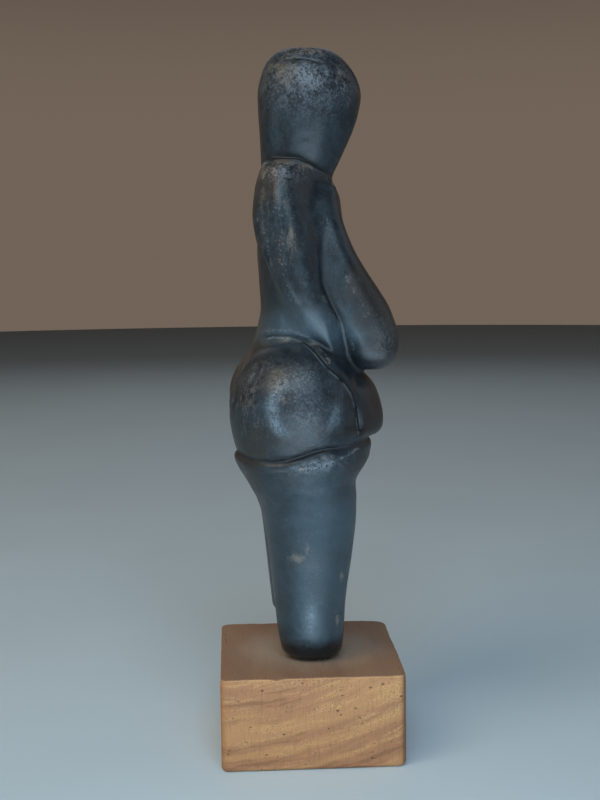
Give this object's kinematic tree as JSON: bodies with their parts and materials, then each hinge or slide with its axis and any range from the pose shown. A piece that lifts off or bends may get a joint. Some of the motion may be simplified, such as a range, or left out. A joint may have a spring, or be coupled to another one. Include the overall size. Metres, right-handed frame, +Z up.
{
  "type": "palaeolithic venus figurine on a wooden block",
  "caption": "Faceless standing female figurine in satin charcoal black, arms folded forward under hanging breasts, broad hips, tapering legs, standing on a small square hardwood block.",
  "frame": {"origin": "centre of the wooden block's flat underside", "axes": "+Z up along the figure, -Y the way the figure faces, +X to the figure's left"},
  "size_m": [0.0428, 0.0332, 0.128],
  "materials": {
    "charcoal_cast": "smoke-blackened and burnished to a satin sheen, pitted and rubbed paler on the head, arm and hip",
    "block_hardwood": "bare reddish hardwood, end grain on two sides, darker worn top"
  },
  "bodies": {
    "root": {"figurine": "charcoal_cast", "wooden_block": "block_hardwood"}
  },
  "joints": []
}
